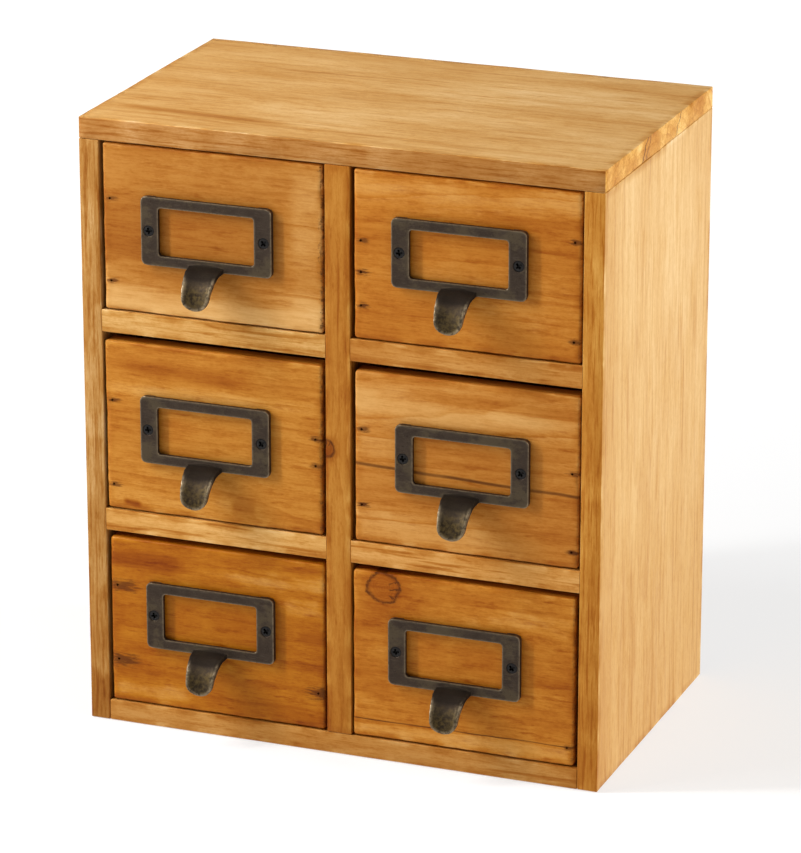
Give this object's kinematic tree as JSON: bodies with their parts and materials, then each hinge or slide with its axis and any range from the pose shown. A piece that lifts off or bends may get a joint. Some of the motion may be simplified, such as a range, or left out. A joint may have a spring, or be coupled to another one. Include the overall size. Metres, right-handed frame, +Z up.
{
  "type": "apothecary cabinet",
  "caption": "Small wooden desktop cabinet with two columns of sliding drawers, each with a dark metal label-frame pull and finger tab.",
  "frame": {"origin": "centre of the footprint, on the surface that the cabinet stands on", "axes": "+X to the right seen from the front, -Y out of the front (the drawers open along -Y), +Z up"},
  "size_m": [0.258, 0.1753, 0.3],
  "materials": {
    "case_wood": "waxed pine, honey brown",
    "front_wood": "waxed pine, orange honey",
    "drawer_wood": "bare pine",
    "plywood": "bare thin plywood",
    "dowel_wood": "bare beech",
    "aged_bronze": "dark antique finish, worn bright on the edges",
    "black_steel": "black oxide",
    "nail_steel": "dull, tarnished"
  },
  "bodies": {
    "cabinet": {"top_panel": "case_wood", "left_side_panel": "case_wood", "right_side_panel": "case_wood", "bottom_panel": "case_wood", "centre_divider": "case_wood", "left_upper_shelf": "case_wood", "left_lower_shelf": "case_wood", "right_upper_shelf": "case_wood", "right_lower_shelf": "case_wood", "back_panel": "plywood", "carcass_dowels": "dowel_wood", "back_panel_pins": "nail_steel"},
    "top_left_drawer": {"top_left_drawer_front": "front_wood", "top_left_drawer_left_side": "drawer_wood", "top_left_drawer_right_side": "drawer_wood", "top_left_drawer_back": "drawer_wood", "top_left_drawer_bottom": "plywood", "top_left_drawer_nails": "nail_steel", "top_left_label_pull": "aged_bronze", "top_left_pull_screws": "black_steel"},
    "top_right_drawer": {"top_right_drawer_front": "front_wood", "top_right_drawer_left_side": "drawer_wood", "top_right_drawer_right_side": "drawer_wood", "top_right_drawer_back": "drawer_wood", "top_right_drawer_bottom": "plywood", "top_right_drawer_nails": "nail_steel", "top_right_label_pull": "aged_bronze", "top_right_pull_screws": "black_steel"},
    "middle_left_drawer": {"middle_left_drawer_front": "front_wood", "middle_left_drawer_left_side": "drawer_wood", "middle_left_drawer_right_side": "drawer_wood", "middle_left_drawer_back": "drawer_wood", "middle_left_drawer_bottom": "plywood", "middle_left_drawer_nails": "nail_steel", "middle_left_label_pull": "aged_bronze", "middle_left_pull_screws": "black_steel"},
    "middle_right_drawer": {"middle_right_drawer_front": "front_wood", "middle_right_drawer_left_side": "drawer_wood", "middle_right_drawer_right_side": "drawer_wood", "middle_right_drawer_back": "drawer_wood", "middle_right_drawer_bottom": "plywood", "middle_right_drawer_nails": "nail_steel", "middle_right_label_pull": "aged_bronze", "middle_right_pull_screws": "black_steel"},
    "bottom_left_drawer": {"bottom_left_drawer_front": "front_wood", "bottom_left_drawer_left_side": "drawer_wood", "bottom_left_drawer_right_side": "drawer_wood", "bottom_left_drawer_back": "drawer_wood", "bottom_left_drawer_bottom": "plywood", "bottom_left_drawer_nails": "nail_steel", "bottom_left_label_pull": "aged_bronze", "bottom_left_pull_screws": "black_steel"},
    "bottom_right_drawer": {"bottom_right_drawer_front": "front_wood", "bottom_right_drawer_left_side": "drawer_wood", "bottom_right_drawer_right_side": "drawer_wood", "bottom_right_drawer_back": "drawer_wood", "bottom_right_drawer_bottom": "plywood", "bottom_right_drawer_nails": "nail_steel", "bottom_right_label_pull": "aged_bronze", "bottom_right_pull_screws": "black_steel"}
  },
  "joints": [
    {"name": "top_left_drawer_slide", "type": "slide", "parent": "cabinet", "child": "top_left_drawer", "axis": [0, -1, 0], "range_m": [0, 0.15]},
    {"name": "top_right_drawer_slide", "type": "slide", "parent": "cabinet", "child": "top_right_drawer", "axis": [0, -1, 0], "range_m": [0, 0.15]},
    {"name": "middle_left_drawer_slide", "type": "slide", "parent": "cabinet", "child": "middle_left_drawer", "axis": [0, -1, 0], "range_m": [0, 0.15]},
    {"name": "middle_right_drawer_slide", "type": "slide", "parent": "cabinet", "child": "middle_right_drawer", "axis": [0, -1, 0], "range_m": [0, 0.15]},
    {"name": "bottom_left_drawer_slide", "type": "slide", "parent": "cabinet", "child": "bottom_left_drawer", "axis": [0, -1, 0], "range_m": [0, 0.15]},
    {"name": "bottom_right_drawer_slide", "type": "slide", "parent": "cabinet", "child": "bottom_right_drawer", "axis": [0, -1, 0], "range_m": [0, 0.15]}
  ]
}
